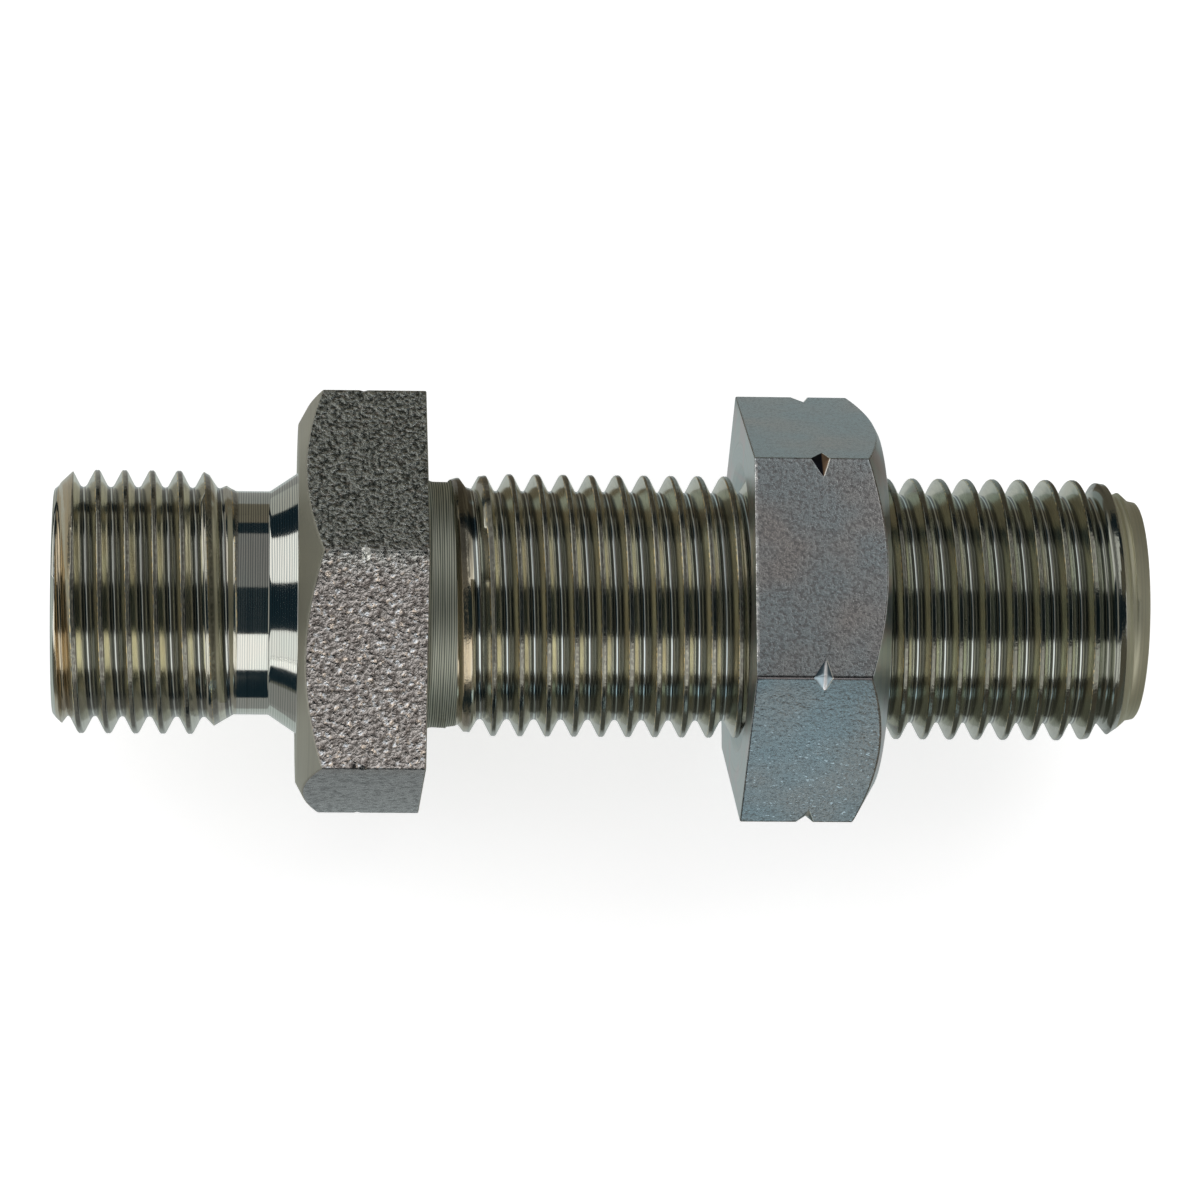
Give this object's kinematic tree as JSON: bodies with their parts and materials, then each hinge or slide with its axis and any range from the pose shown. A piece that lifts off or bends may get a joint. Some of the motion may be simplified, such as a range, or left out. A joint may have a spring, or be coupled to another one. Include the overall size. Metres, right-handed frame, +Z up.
{
  "type": "bulkhead union",
  "caption": "Straight bulkhead union with parallel pipe threads and internal cone seats at both ends, a hexagonal body and a hexagonal lock nut that clamps a panel.",
  "frame": {"origin": "on the axis, at the centre of the hexagon's clamping face, the face that lies against the panel", "axes": "+X along the axis towards the long bulkhead end, +Z up with the fitting lying on its side, +Y away from the picture's view"},
  "size_m": [0.0535, 0.0216, 0.0218],
  "materials": {
    "body_plate": "olive-grey zinc plate, shiny on the turned and threaded surfaces, coarse on the hexagon",
    "nut_plate": "blue-grey zinc plate, finely grained"
  },
  "bodies": {
    "union": {"union_body": "body_plate"},
    "nut": {"lock_nut": "nut_plate"}
  },
  "joints": [
    {"name": "nut_travel", "type": "slide", "parent": "union", "child": "nut", "axis": [1, 0, 0], "range_m": [-0.01337, 0.02005]}
  ]
}
